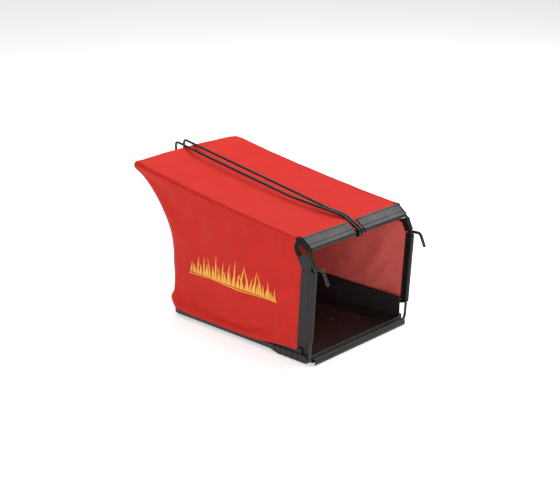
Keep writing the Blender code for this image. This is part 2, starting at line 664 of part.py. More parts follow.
def place_origin(root, collection):
    """Moves everything so that the origin lies below the middle of the whole box."""
    bpy.context.view_layer.update()
    depsgraph = bpy.context.evaluated_depsgraph_get()
    places = []
    for obj in collection.objects:
        if obj.type != "EMPTY":
            mesh = bpy.data.meshes.new_from_object(obj.evaluated_get(depsgraph))
            places += [(obj.matrix_world @ vert.co).y for vert in mesh.vertices]
            bpy.data.meshes.remove(mesh)
    root.location.y = -(min(places) + max(places)) / 2
    bpy.context.view_layer.update()


def main():
    clear_scene()
    parts = new_collection("grass_catcher")
    cutters = new_collection("cutters")
    root = bpy.data.objects.new("catcher_origin", None)
    parts.objects.link(root)
    pivot = bpy.data.objects.new("bail_pivot", None)
    parts.objects.link(pivot)
    pivot.parent = root
    pivot.location = from_side(*TOP_POINT)

    black_steel = new_material("black_coated_wire", (0.018, 0.018, 0.018), 0.38, 0.6)
    grey_plastic = new_material("dark_grey_clip_plastic", (0.052, 0.052, 0.050), 0.50)
    tray_plastic = new_material("black_moulded_plastic", (0.022, 0.018, 0.017), 0.48)
    red_cloth = new_material("red_bag_cloth", (0.62, 0.04, 0.03), 0.85)
    black_tape = new_material("black_edge_tape", (0.015, 0.014, 0.014), 0.80)

    make_frame(black_steel, parts, root)
    make_side_hooks(black_steel, parts, root)
    make_strips(grey_plastic, parts, cutters, root)
    make_sill(grey_plastic, parts, root)
    make_tray(tray_plastic, parts, cutters, root)
    make_top_panel(red_cloth, parts, cutters, root)
    make_side_panels(red_cloth, parts, root)
    make_rear_panel(red_cloth, parts, root)
    make_corner_bindings(black_tape, parts, root)
    make_support_bow(black_steel, parts, root)
    make_hem_strips(tray_plastic, parts, root)
    make_bail(black_steel, parts, pivot)
    place_origin(root, parts)


main()
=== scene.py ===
import json
import math

import bmesh
import bpy
import numpy as np
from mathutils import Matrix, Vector, noise
from mathutils.bvhtree import BVHTree


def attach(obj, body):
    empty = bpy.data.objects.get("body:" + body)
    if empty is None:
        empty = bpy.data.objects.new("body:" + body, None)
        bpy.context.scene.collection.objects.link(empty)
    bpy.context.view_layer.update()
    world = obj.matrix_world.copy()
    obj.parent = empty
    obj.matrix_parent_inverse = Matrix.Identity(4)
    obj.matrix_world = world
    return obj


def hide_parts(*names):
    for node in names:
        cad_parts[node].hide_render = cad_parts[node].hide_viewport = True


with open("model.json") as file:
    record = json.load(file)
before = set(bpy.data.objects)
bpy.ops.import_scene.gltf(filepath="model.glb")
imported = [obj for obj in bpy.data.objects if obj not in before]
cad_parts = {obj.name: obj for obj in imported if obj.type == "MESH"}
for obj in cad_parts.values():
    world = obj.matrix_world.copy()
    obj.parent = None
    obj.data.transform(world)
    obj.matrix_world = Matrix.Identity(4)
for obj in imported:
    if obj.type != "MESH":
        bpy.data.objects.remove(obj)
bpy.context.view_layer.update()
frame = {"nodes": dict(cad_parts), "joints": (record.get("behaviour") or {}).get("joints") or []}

# ---- camera, floor and light ----------------------------------------------------------------
# The catcher is seen from its left and a little above, on a white floor, in the even light of a
# product studio: softboxes overhead, on the right and in front, and a weak one behind on the left.
pivot = Vector(frame["joints"][0]["pos_m"])     # the frame's top bar, which the bail swings on
MOUTH = pivot.y - 0.018                         # lengths below are measured back from the frame's front bend

camera_data = bpy.data.cameras.new("camera")
camera_data.sensor_fit = "HORIZONTAL"
camera_data.sensor_width = 36.0
camera_data.lens = 84.47
camera_data.clip_end = 60.0
camera = bpy.data.objects.new("camera", camera_data)
camera.location = (-1.961, -1.8384, 1.1103)
camera.rotation_euler = (math.radians(70.23), 0.0, math.radians(-47.15))
bpy.context.scene.collection.objects.link(camera)
bpy.context.scene.camera = camera
bpy.context.scene.view_settings.view_transform = "Standard"

world = bpy.data.worlds.new("studio")
world.use_nodes = True
world.node_tree.nodes["Background"].inputs["Color"].default_value = (1.0, 0.995, 0.985, 1.0)
world.node_tree.nodes["Background"].inputs["Strength"].default_value = 0.30
bpy.context.scene.world = world


def softbox(name, place, target, size, power):
    data = bpy.data.lights.new(name, "AREA")
    data.shape = "SQUARE"
    data.size = size
    data.energy = power
    light = bpy.data.objects.new(name, data)
    light.location = place
    light.rotation_euler = (Vector(target) - Vector(place)).to_track_quat("-Z", "Y").to_euler()
    bpy.context.scene.collection.objects.link(light)


softbox("overhead_softbox", (0.3, 0.7, 2.4), (0.0, 0.0, 0.2), 2.0, 36.0)
softbox("right_softbox", (1.9, -0.4, 2.1), (0.0, 0.0, 0.2), 1.6, 45.0)
softbox("front_softbox", (-2.2, -2.4, 1.0), (0.0, 0.0, 0.15), 2.0, 27.0)
softbox("rear_left_softbox", (-1.6, 1.1, 1.3), (-0.15, 0.1, 0.2), 1.2, 1.5)


def add(tree, kind, inputs=None, **settings):
    """A node in a tree, with its settings and the values of its inputs."""
    made = tree.nodes.new(kind)
    for key, value in settings.items():
        setattr(made, key, value)
    for key, value in (inputs or {}).items():
        if isinstance(value, bpy.types.NodeSocket):
            tree.links.new(value, made.inputs[key])
        else:
            made.inputs[key].default_value = value
    return made


def new_finish(name):
    """An empty material: its tree and its shader."""
    material = bpy.data.materials.new(name)
    material.use_nodes = True
    return material, material.node_tree, material.node_tree.nodes["Principled BSDF"]


floor_finish, tree, shader = new_finish("studio_floor")
shader.inputs["Base Color"].default_value = (0.93, 0.93, 0.925, 1.0)
shader.inputs["Roughness"].default_value = 0.9
shader.inputs["Specular IOR Level"].default_value = 0.1
shader.inputs["Emission Color"].default_value = (1.0, 1.0, 1.0, 1.0)
shader.inputs["Emission Strength"].default_value = 0.50
floor_data = bpy.data.meshes.new("studio_floor")
floor_data.from_pydata([(-20, -20, 0), (20, -20, 0), (20, 20, 0), (-20, 20, 0)], [], [(0, 1, 2, 3)])
floor_data.materials.append(floor_finish)
studio_floor = bpy.data.objects.new("studio_floor", floor_data)
bpy.context.scene.collection.objects.link(studio_floor)

# ---- floor tray -----------------------------------------------------------------------------
# The tray is one injection moulding in black polypropylene, with a ledge that the bag's lower edge
# clips over. Its corners are broken by the mould, and its faces carry a fine spark-eroded grain.
TRAY_EDGE = 0.0006


def moulded(name, dark, light, roughness, grain, height, streak=None, gloss=0.5):
    """A plastic or coating: mottled colour, uneven roughness and a fine grain, which may run along an axis."""
    material, tree, shader = new_finish(name)
    where = add(tree, "ShaderNodeTexCoord").outputs["Object"]
    if streak:
        where = add(tree, "ShaderNodeMapping", {"Vector": where, "Scale": streak}).outputs["Vector"]
    cloud = add(tree, "ShaderNodeTexNoise", {"Vector": where, "Scale": 38.0, "Detail": 5.0,
                                             "Roughness": 0.6})
    colour = add(tree, "ShaderNodeValToRGB", {"Fac": cloud.outputs["Fac"]})
    colour.color_ramp.elements[0].position, colour.color_ramp.elements[1].position = 0.3, 0.72
    colour.color_ramp.elements[0].color = (*dark, 1.0)
    colour.color_ramp.elements[1].color = (*light, 1.0)
    tree.links.new(colour.outputs["Color"], shader.inputs["Base Color"])
    fine = add(tree, "ShaderNodeTexNoise", {"Vector": where, "Scale": grain, "Detail": 3.0,
                                            "Roughness": 0.5})
    uneven = add(tree, "ShaderNodeMapRange", {"Value": cloud.outputs["Fac"], "From Min": 0.3,
                                              "From Max": 0.7,
                                              "To Min": roughness - 0.07, "To Max": roughness + 0.09})
    tree.links.new(uneven.outputs["Result"], shader.inputs["Roughness"])
    bump = add(tree, "ShaderNodeBump", {"Height": fine.outputs["Fac"], "Distance": height, "Strength": 0.6})
    tree.links.new(bump.outputs["Normal"], shader.inputs["Normal"])
    shader.inputs["Specular IOR Level"].default_value = gloss
    return material


def place_piece(name, mesh, material, slot, body, *replaced):
    """Puts a finished mesh in the scene as one piece, at the origin."""
    piece = bpy.data.objects.new(name, mesh)
    bpy.context.scene.collection.objects.link(piece)
    if material is not None:
        mesh.materials.clear()
        mesh.materials.append(material)
    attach(piece, body)
    if replaced:
        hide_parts(*replaced)
    return piece


def broken_edges(node, name, material, slot, width, segments=2, angle=30.0):
    """The solid's own shape with its sharp edges rounded off, as moulding or extruding leaves them."""
    shape = bmesh.new()
    shape.from_mesh(frame["nodes"][node].data)
    bmesh.ops.remove_doubles(shape, verts=shape.verts, dist=1e-5)
    bmesh.ops.dissolve_limit(shape, angle_limit=math.radians(0.5), verts=shape.verts, edges=shape.edges)
    mesh = bpy.data.meshes.new(name)
    for face in shape.faces:
        face.smooth = True
    shape.to_mesh(mesh)
    shape.free()
    piece = place_piece(name, mesh, material, slot, "root", node)
    bevel = piece.modifiers.new("broken_edges", "BEVEL")
    bevel.width = width
    bevel.segments = segments
    bevel.limit_method = "ANGLE"
    bevel.angle_limit = math.radians(angle)
    bevel.harden_normals = True
    bevel.use_clamp_overlap = True
    return piece


tray_plastic = moulded("tray_plastic", (0.016, 0.0155, 0.0150), (0.028, 0.0270, 0.0262), 0.50, 900.0,
                       0.0003, gloss=0.38)
broken_edges("floor_tray", "moulded_tray", tray_plastic, "tray_plastic", TRAY_EDGE)

# ---- mouth sill -----------------------------------------------------------------------------
# The sill is a hollow extruded profile in black plastic, pressed over the frame's lower bar. The die
# leaves long, faint lines on it, and its ends are sawn square.
SILL_HALF, SILL_WALL = 0.1465, 0.0015


def extruded(name, line, wall, spot, material, node, stations=9):
    """A drawn profile. The line is the middle of its wall as (first, second, part outside the middle), and
    spot(k, place, share) puts a place of the section in the world at a share of the length."""
    shape = bmesh.new()
    rows = []
    for k, (first, second, outer_part) in enumerate(line):
        before, after = Vector(line[max(k - 1, 0)][:2]), Vector(line[min(k + 1, len(line) - 1)][:2])
        way = (after - before).normalized()
        normal = Vector((way.y, -way.x))
        rows.append([[shape.verts.new(spot(k, Vector((first, second)) + normal * offset,
                                           step / (stations - 1)))
                      for step in range(stations)] for offset in (outer_part, -wall / 2)])
    for (a, b), (c, d) in zip(rows, rows[1:]):
        for step in range(stations - 1):
            shape.faces.new((a[step], a[step + 1], c[step + 1], c[step]))
            shape.faces.new((b[step], d[step], d[step + 1], b[step + 1]))
        shape.faces.new((a[0], c[0], d[0], b[0]))
        shape.faces.new((a[-1], b[-1], d[-1], c[-1]))
    for a, b in (rows[0], rows[-1]):
        for step in range(stations - 1):
            shape.faces.new((a[step], b[step], b[step + 1], a[step + 1]))
    bmesh.ops.recalc_face_normals(shape, faces=shape.faces)
    for face in shape.faces:
        face.smooth = True
    mesh = bpy.data.meshes.new(name)
    shape.to_mesh(mesh)
    shape.free()
    mesh.set_sharp_from_angle(angle=math.radians(32))
    place_piece(name, mesh, material, "clip_plastic", "root", node)


sill_plastic = moulded("sill_plastic", (0.013, 0.013, 0.0125), (0.024, 0.024, 0.023), 0.44, 700.0, 0.0003,
                       streak=(0.04, 1.0, 1.0), gloss=0.35)
half = SILL_WALL / 2
sill_line = [(0.0196, 0.0030, half * 0.4), (0.0197, 0.0036, half), (0.0197, 0.0146, half),
             (0.0194, 0.0157, half), (0.0187, 0.0162, half), (0.0179, 0.0157, half),
             (0.0174, 0.0142, half), (0.0168, 0.0127, half), (0.0156, 0.0121, half),
             (0.0144, 0.0126, half), (0.0134, 0.0130, half), (0.0100, 0.0130, half),
             (0.0094, 0.0130, half * 0.3), (0.0088, 0.0130, half), (0.0066, 0.0127, half),
             (0.0053, 0.0116, half), (0.0046, 0.0100, half), (0.0045, 0.0080, half),
             (0.0045, 0.0074, half * 0.3), (0.0045, 0.0068, half), (0.0045, 0.0030, half),
             (0.0049, 0.0018, half), (0.0060, 0.0012, half), (0.0070, 0.0012, half * 0.4)]
extruded("mouth_sill", sill_line, SILL_WALL,
         lambda k, place, share: Vector((SILL_HALF * (2 * share - 1), MOUTH + place.x, place.y)),
         sill_plastic, "front_sill_profile")

# ---- frame wire and side hooks --------------------------------------------------------------
# The mouth is one loop of 6 mm steel wire, bent back at the shoulders, with a hanging hook welded to
# each upright at the bend. All of it is dipped in black powder, which leaves a slight orange peel.
WIRE, HOOK = 0.003, 0.0034
FRAME_HALF = 0.155
LOW_BACK, LOW_HEIGHT = 0.0125, 0.0065           # the lower bar, back from the bend and up from the floor
BEND_HEIGHT = 0.209
TOP_BACK, TOP_HEIGHT = 0.018, 0.246             # the top bar


def at(x, y, z):
    return Vector((x, MOUTH + y, z))


def bent(corners, radii, steps=10):
    """Points along a line whose inner corners are rounded to the given radii."""
    path = [corners[0]]
    for before, corner, after, radius in zip(corners, corners[1:], corners[2:], radii):
        one, two = (before - corner).normalized(), (after - corner).normalized()
        half = one.angle(two) / 2
        reach = radius / math.tan(half)
        centre = corner + (one + two).normalized() * (radius / math.sin(half))
        start, end = corner + one * reach - centre, corner + two * reach - centre
        turn = start.angle(end)
        for step in range(steps + 1):
            share = step / steps
            spoke = start * math.sin(turn * (1 - share)) + end * math.sin(turn * share)
            path.append(centre + spoke / math.sin(turn))
    return path + [corners[-1]]


def tube(name, path, radius, sides=20, closed=False):
    """A round bar along a path, with domed ends unless it is closed. Its rings don't twist on the way."""
    points = [path[0]]
    for point in path[1:]:
        if (point - points[-1]).length > radius * 0.05:
            points.append(point)
    count = len(points)
    if closed:
        tangents = [(points[(i + 1) % count] - points[i - 1]).normalized() for i in range(count)]
    else:
        tangents = [(points[min(i + 1, count - 1)] - points[max(i - 1, 0)]).normalized()
                    for i in range(count)]
    across = tangents[0].orthogonal().normalized()
    rings = []
    for i, (point, tangent) in enumerate(zip(points, tangents)):
        across = (across - tangent * across.dot(tangent)).normalized()
        rings.append((point, tangent, across.copy(), radius))
    if not closed:
        dome = [(0.35, 0.95), (0.7, 0.72), (0.93, 0.36)]
        head = [(points[0] - tangents[0] * radius * out * 0.8, tangents[0], rings[0][2], radius * wide)
                for out, wide in dome]
        tail = [(points[-1] + tangents[-1] * radius * out * 0.8, tangents[-1], rings[-1][2], radius * wide)
                for out, wide in dome]
        rings = head[::-1] + rings + tail
    verts, faces = [], []
    for point, tangent, side, size in rings:
        other = tangent.cross(side)
        for k in range(sides):
            turn = 2 * math.pi * k / sides
            verts.append(point + (side * math.cos(turn) + other * math.sin(turn)) * size)
    spans = len(rings) if closed else len(rings) - 1
    for i in range(spans):
        low, high = i * sides, ((i + 1) % len(rings)) * sides
        for k in range(sides):
            faces.append((low + k, low + (k + 1) % sides, high + (k + 1) % sides, high + k))
    if not closed:
        faces.append(tuple(reversed(range(sides))))
        faces.append(tuple(range(len(verts) - sides, len(verts))))
    mesh = bpy.data.meshes.new(name)
    mesh.from_pydata(verts, [], faces)
    mesh.polygons.foreach_set("use_smooth", [True] * len(mesh.polygons))
    return mesh


powder_coat = moulded("black_powder_coat", (0.006, 0.006, 0.006), (0.011, 0.011, 0.0105), 0.34, 420.0,
                      0.0004)

half_loop = [at(FRAME_HALF, LOW_BACK, LOW_HEIGHT), at(FRAME_HALF, 0.0, BEND_HEIGHT),
             at(FRAME_HALF, TOP_BACK, TOP_HEIGHT)]
mirrored = [Vector((-p.x, p.y, p.z)) for p in reversed(half_loop)]
middle = at(0.0, LOW_BACK, LOW_HEIGHT)
loop = bent([middle] + half_loop + mirrored + [middle], [0.014, 0.010, 0.006, 0.006, 0.010, 0.014])
place_piece("frame_loop", tube("frame_loop", loop[:-1], WIRE, 24, closed=True), powder_coat, "coated_wire",
            "root", "frame_wire")

for side, word in ((-1, "left"), (1, "right")):
    hook_path = bent([at(side * FRAME_HALF, -0.0032, 0.212), at(side * FRAME_HALF, -0.0215, 0.213),
                      at(side * FRAME_HALF, -0.0335, 0.187)], [0.009])
    place_piece("hanging_hook_" + word, tube("hanging_hook_" + word, hook_path, HOOK, 24), powder_coat,
                "coated_wire", "root", "hook_" + word)

# ---- clip-on strips -------------------------------------------------------------------------
# The cloth's front edges are gripped by grey-black extruded strips: a C that grips the wire, a
# wide flange outside the cloth and a narrow lip inside it. They are sawn off, mitred at the bends.
CLIP_MIDDLE, STRIP_WALL = 0.0042, 0.0018        # middle of the C's wall from the wire's centre
LIP_REACH = 0.0165
STRIP_TILT = math.radians(36)
SHOULDER = Vector((0.0, 0.4375, 0.8992))
UPRIGHT = Vector((0.0, 0.0616, -0.9981))
MITRE, MITRE_GAP = math.tan(math.radians(14.7)), 0.0003
CLIP_FOOT = 0.052
TOP_FLANGE, SIDE_FLANGE = 0.029, 0.031          # how far the flanges reach behind the wire
TOP_CORNER, SHOULDER_END = 0.149, 0.0350        # sawn ends, from the middle of the mouth and from the bend
SIDE_PROUD = 0.0006                             # how far the upright strips stand out at the mitre


def clip_strip(node, flange, wire_point, along, back, out, clip_ends, flange_ends):
    """One strip, from wire_point along the wire. Its ends are (first, last): places for the clip, and for
    the flange two rules that give the place from how far behind the wire it is."""
    half = STRIP_WALL / 2
    line = [(flange, CLIP_MIDDLE, half * 0.5), (flange - 0.0005, CLIP_MIDDLE, half)]
    for groove in (flange - 0.0040, 0.0080):
        line += [(groove + 0.0007, CLIP_MIDDLE, half), (groove, CLIP_MIDDLE, half * 0.2),
                 (groove - 0.0007, CLIP_MIDDLE, half)]
    line += [(0.0060, CLIP_MIDDLE, half), (0.0048, CLIP_MIDDLE, half), (0.0, CLIP_MIDDLE, half)]
    flange_rows = len(line) - 2
    for turn in np.radians(np.linspace(90, 300, 19))[1:]:
        line.append((CLIP_MIDDLE * math.cos(turn), CLIP_MIDDLE * math.sin(turn), half))
    line += [(0.0050, -0.0007, half * 0.85), (0.0065, 0.0, half * 0.78),
             (LIP_REACH - 0.0004, 0.0001, half * 0.7), (LIP_REACH, 0.0001, half * 0.4)]

    def spot(k, place, share):
        first, last = [end(place.x) for end in flange_ends] if k < flange_rows else clip_ends
        return wire_point + along * (first + (last - first) * share) + back * place.x + out * place.y

    extruded("clip_" + node, line, STRIP_WALL, spot, strip_plastic, node)


strip_plastic = moulded("strip_plastic", (0.011, 0.011, 0.0105), (0.019, 0.019, 0.018), 0.42, 800.0, 0.0003,
                        streak=(0.5, 0.5, 0.5), gloss=0.27)
for side, word in ((-1, "left"), (1, "right")):
    outward = Vector((side, 0, 0))
    bend = at(side * FRAME_HALF, 0.0, BEND_HEIGHT)
    tilted_back = Vector((0, math.cos(STRIP_TILT), math.sin(STRIP_TILT)))
    tilted_out = Vector((0, -math.sin(STRIP_TILT), math.cos(STRIP_TILT)))
    clip_strip("top_strip_" + word, TOP_FLANGE, Vector((0, pivot.y, pivot.z)), outward, tilted_back,
               tilted_out, (0.0155, TOP_CORNER), (lambda behind: 0.0145, lambda behind: TOP_CORNER))
    clip_strip("shoulder_strip_" + word, TOP_FLANGE, bend, SHOULDER, Vector((0, 0.8992, -0.4375)), outward,
               (0.0065, SHOULDER_END), (lambda behind: MITRE_GAP + MITRE * behind,
                                        lambda behind: SHOULDER_END))
    foot = (BEND_HEIGHT - CLIP_FOOT) / 0.9981
    clip_strip("side_strip_" + word, SIDE_FLANGE, bend + outward * SIDE_PROUD, UPRIGHT,
               Vector((0, 0.9981, 0.0616)), outward, (0.0035, foot),
               (lambda behind: MITRE_GAP + MITRE * behind,
                lambda behind: foot + 0.008 + 0.36 * (behind - 0.0055)))

# ---- support bow and hem strips -------------------------------------------------------------
# A 4 mm spring wire runs in the top seams and holds the bag's roof up. Flat plastic strips are sewn
# in the lower hem and hook behind the tray's ledge.
ROOF_FRONT, ROOF_REAR = 0.0407, 0.5255          # where the cloth's roof leaves the strips, and its rear edge
ROOF_LOW, ROOF_HIGH = 0.2658, 0.3325
ROOF_SAG = 0.005


def eased(value, low, high):
    """0 below low, 1 above high, and a smooth rise between them."""
    share = np.clip((np.asarray(value, float) - low) / (high - low), 0, 1)
    return share * share * (3 - 2 * share)


def roof_height(y):
    """Height of the cloth's roof: under the strips it follows their tilt, then it hangs in a shallow curve."""
    y = np.asarray(y, float)
    share = (y - ROOF_FRONT) / (ROOF_REAR - ROOF_FRONT)
    roof = ROOF_LOW + (ROOF_HIGH - ROOF_LOW) * share - 4 * ROOF_SAG * share * (1 - share)
    return np.where(share < 0, ROOF_LOW + (y - ROOF_FRONT) * math.tan(STRIP_TILT), roof)


BOW_DROP, BOW_WIRE = 0.0055, 0.002
leg = [at(-0.150, y, float(roof_height(y)) - BOW_DROP) for y in np.linspace(0.0435, 0.49, 14)]
corner = at(-0.150, 0.5175, float(roof_height(0.5175)) - BOW_DROP)
other = [Vector((-p.x, p.y, p.z)) for p in reversed(leg + [corner])]
bow = leg[:-1] + bent([leg[-1], corner, other[0], other[1]], [0.020, 0.020]) + other[2:]
place_piece("spring_bow", tube("spring_bow", bow, BOW_WIRE, 16),
            powder_coat, "coated_wire", "root", "support_bow")
for node in sorted(frame["nodes"]):
    if "hem" in node:
        broken_edges(node, "sewn_" + node, sill_plastic, "clip_plastic", 0.0004)

# ---- bag ------------------------------------------------------------------------------------
# The bag is sewn from coated polyester cloth: one long piece for the roof and the back, and two sides.
# It is stretched from the frame over the spring bow to the tray, and it hangs in soft folds between them.
BAG_HALF = 0.1577
CLOTH = 0.0015
BASE_REAR = 0.420
FLARE_FOOT, FLARE_TOP, FLARE_POWER = 0.130, 0.315, 2.2
UPRIGHT_CORNER = 0.022                          # radius of the bag's upright rear corners, seen from above
RING_BACK, RING_CUT = 0.0295, 0.0195            # bound opening round the frame's top corner
ROOF_JOIN, JOIN_RISE = 0.0425, 0.0003           # the sides meet the roof from here back, at this rise
NOTCH_HALF, NOTCH_REAR = 0.0095, 0.053          # notch in the roof, round the bail's eye


def foot_height(y):
    """Height of the cloth's lower edge, which hangs over the tray's ledge and is drawn up towards the mouth."""
    return (0.0163 + 0.0110 * (1 - eased(y, 0.060, 0.185)) + 0.0220 * (1 - eased(y, 0.036, 0.046))
            + 0.0045 * eased(y, 0.350, 0.412))


def back_place(z):
    """How far back the rear wall stands: upright over the tray, with a low bulge, then leaning out."""
    share = np.clip((z - FLARE_FOOT) / (FLARE_TOP - FLARE_FOOT), 0, 1)
    bulge = 0.009 * np.exp(-((z - 0.040) / 0.016) ** 2) - 0.003 * np.exp(-((z - 0.085) / 0.025) ** 2)
    flare = BASE_REAR + (ROOF_REAR - BASE_REAR) * share ** FLARE_POWER
    return flare + bulge * np.clip((z - 0.0205) / 0.008, 0, 1)


def front_place(z):
    """How far back a side panel's front edge stands: just behind the wire, and round the bound opening."""
    wire = np.where(z < BEND_HEIGHT, LOW_BACK * (BEND_HEIGHT - z) / 0.2025, TOP_BACK * (z - BEND_HEIGHT) / 0.037)
    rise = np.clip((z - TOP_HEIGHT) / RING_CUT, -1, 1)
    ring = RING_BACK + RING_CUT * np.sqrt(1 - rise ** 2)
    clear = 0.005 + 0.015 * (1 - eased(z, 0.050, 0.062)) + 0.009 * eased(z, 0.196, 0.208)
    return np.where(z > 0.2615, ROOF_JOIN, np.where(z > 0.2255, ring, wire + clear))


def rounded(places):
    """Places on the sharp-edged bag, moved on to its rounded edges and corners."""
    x, y, z = places.T
    inset, depth, ahead = BAG_HALF - np.abs(x), roof_height(y) - z, back_place(z) - y
    crease = 0.003 + 0.0085 * np.clip(y / ROOF_REAR, 0, 1) ** 1.5
    corner = UPRIGHT_CORNER + eased(z, 0.24, 0.32) * np.where(x > 0, 0.011, -0.008)
    near = np.minimum(inset, ahead)
    e, b = np.maximum(crease - near, 0), np.maximum(crease - depth, 0)
    reach = np.maximum(np.hypot(e, b), crease)
    moved = np.where(e > 0, crease - e * crease / reach, near)
    depth = np.where(b > 0, crease - b * crease / reach, depth)
    squeeze = (corner - moved) / np.maximum(corner - near, 1e-9)
    p = np.where(inset < corner, (corner - inset) * squeeze, 0)
    q = np.where(ahead < corner, (corner - ahead) * squeeze, 0)
    turn = np.where((p > 0) & (q > 0), np.maximum(p, q) / np.maximum(np.hypot(p, q), 1e-9), 1.0)
    inset = np.where(inset < corner, corner - p * turn, inset)
    ahead = np.where(ahead < corner, corner - q * turn, ahead)
    return np.stack([np.sign(x) * (BAG_HALF - inset), MOUTH + back_place(z) - ahead,
                     roof_height(y) - depth], 1)


join_share = (NOTCH_REAR - ROOF_JOIN) / (ROOF_REAR - ROOF_JOIN)
along = np.concatenate([np.linspace(0, join_share, 4), np.linspace(join_share, 0.15, 9)[1:],
                        np.linspace(0.15, 0.86, 36)[1:], np.linspace(0.86, 1, 14)[1:]])
upward = np.concatenate([np.linspace(0, 0.12, 8), np.linspace(0.12, 0.84, 28)[1:],
                         np.linspace(0.84, 1, 13)[1:]])
half_width = np.concatenate([np.linspace(0, NOTCH_HALF, 3), np.linspace(NOTCH_HALF, 0.125, 12)[1:],
                             np.linspace(0.125, BAG_HALF, 8)[1:]])
crosswise = np.concatenate([-half_width[:0:-1], half_width])
under_strip = np.linspace(0.0204, ROOF_JOIN, 5)[:-1]


def panel_grid(first, second):
    one, two = np.meshgrid(first, second, indexing="ij")
    return one.ravel(), two.ravel(), (len(first), len(second))


panels = []                                     # sharp places, cloth coordinates, grid shape, faces reversed
s, t, shape = panel_grid(along, upward)
rear_foot = float(foot_height(BASE_REAR))
foot = foot_height(0.030 * (1 - s) + BASE_REAR * s)
z = foot + (roof_height(ROOF_JOIN * (1 - s) + ROOF_REAR * s) - foot) * t
front_z = foot[0] + (ROOF_LOW + JOIN_RISE - foot[0]) * t
y = front_place(front_z) * (1 - s) + back_place(rear_foot + (ROOF_HIGH - rear_foot) * t) * s
for side in (-1, 1):
    panels.append((np.stack([np.full_like(s, side * BAG_HALF), y, z], 1), np.stack([y, z], 1),
                   shape, side < 0))
rows = np.concatenate([under_strip, ROOF_JOIN + along * (ROOF_REAR - ROOF_JOIN)])
y, x, shape = panel_grid(rows, crosswise)
panels.append((np.stack([x, y, roof_height(y)], 1), np.stack([x + 1.0, y], 1), shape, True))
t, x, shape = panel_grid(upward, crosswise)
z = rear_foot + (ROOF_HIGH - rear_foot) * t
panels.append((np.stack([x, back_place(z), z], 1), np.stack([x + 1.0, ROOF_REAR + ROOF_HIGH - z], 1),
               shape, False))

shell = bmesh.new()
weave_map = shell.loops.layers.uv.new("Weave")
for places, cloth_places, shape, reverse in panels:
    verts = [shell.verts.new(place) for place in rounded(places)]
    middle = places.reshape(*shape, 3)
    for i in range(shape[0] - 1):
        for j in range(shape[1] - 1):
            spot = (middle[i, j] + middle[i + 1, j + 1]) / 2
            if abs(spot[0]) < NOTCH_HALF and spot[1] < NOTCH_REAR and spot[2] > 0.24:
                continue
            corners = [i * shape[1] + j, (i + 1) * shape[1] + j, (i + 1) * shape[1] + j + 1,
                       i * shape[1] + j + 1]
            if reverse:
                corners.reverse()
            face = shell.faces.new([verts[k] for k in corners])
            face.smooth = True
            for loop, k in zip(face.loops, corners):
                loop[weave_map].uv = cloth_places[k]
bmesh.ops.remove_doubles(shell, verts=shell.verts, dist=2e-5)
bmesh.ops.delete(shell, geom=[v for v in shell.verts if not v.link_faces], context="VERTS")


def folds(place):
    """Soft folds that run from the held corners, in metres outwards, for a place on the cloth."""
    x, y, z = place.x, place.y - MOUTH, place.z
    lift = 0.0
    for ay, az, by, bz, width, height in (
            (0.515, 0.300, 0.300, 0.120, 0.012, 0.0012), (0.500, 0.285, 0.390, 0.060, 0.010, 0.0014),
            (0.415, 0.060, 0.330, 0.190, 0.013, 0.0008), (0.400, 0.035, 0.250, 0.090, 0.012, -0.0006),
            (0.060, 0.225, 0.220, 0.150, 0.014, 0.0006), (0.480, 0.265, 0.200, 0.235, 0.016, -0.0010)):
        way = Vector((by - ay, bz - az))
        gone = Vector((y - ay, z - az)).dot(way) / way.length_squared
        off = (Vector((y - ay, z - az)) - way * min(max(gone, 0.0), 1.0)).length
        if abs(x) > 0.12:
            share = min(max(0.15 + 0.8 * gone, 0.0), 1.0)
            lift += height * math.exp(-(off / width) ** 2) * math.sin(math.pi * share)
    if z > float(roof_height(y)) - 0.012 and abs(x) < 0.14:
        lift += 0.0030 * float(eased(y, 0.42, 0.52)) * (1 - (x / 0.14) ** 2)
    return lift + 0.0009 * noise.noise(place * 14.0) + 0.0005 * noise.noise(place * 37.0)


held = {}
for vert in shell.verts:
    y, z = vert.co.y - MOUTH, vert.co.z
    free = float(eased(y, 0.055, 0.145)) * float(eased(z - foot_height(y), 0.010, 0.050))
    vert.co += vert.normal * folds(vert.co) * free
    ear = (vert.co - at(-BAG_HALF, ROOF_REAR, ROOF_HIGH - 0.008)).length
    vert.co += Vector((-0.0030, 0.0050, 0.0005)) * math.exp(-(ear / 0.016) ** 2)
    on_crease = abs(abs(vert.co.x) - 0.152) < 0.008 and abs(z - float(roof_height(y))) < 0.010
    on_rear_bar = abs(y - 0.519) < 0.010 and z > 0.318
    held[vert.index] = 1.0 if free < 0.02 else 0.85 if on_crease or on_rear_bar else 0.02
bag_mesh = bpy.data.meshes.new("bag")
shell.to_mesh(bag_mesh)
shell.free()
bag = bpy.data.objects.new("bag", bag_mesh)
bpy.context.scene.collection.objects.link(bag)
DRAPE_FRAMES, MOST_MOVED = 26, 0.005
before = [vert.co.copy() for vert in bag_mesh.vertices]
group = bag.vertex_groups.new(name="held")
for index, weight in held.items():
    group.add([index], weight, "REPLACE")
drape = bag.modifiers.new("drape", "CLOTH")
drape.settings.quality = 6
drape.settings.mass = 0.12
drape.settings.tension_stiffness = 60
drape.settings.compression_stiffness = 40
drape.settings.shear_stiffness = 15
drape.settings.bending_stiffness = 1.2
drape.settings.shrink_min = -0.003
drape.settings.vertex_group_mass = "held"
drape.point_cache.frame_start = 1
drape.point_cache.frame_end = DRAPE_FRAMES
for number in range(1, DRAPE_FRAMES + 1):
    bpy.context.scene.frame_set(number)
draped = bag.evaluated_get(bpy.context.evaluated_depsgraph_get()).data
after = [vert.co.copy() for vert in draped.vertices]
bag.modifiers.remove(drape)
bag.vertex_groups.remove(group)
bpy.context.scene.frame_set(1)
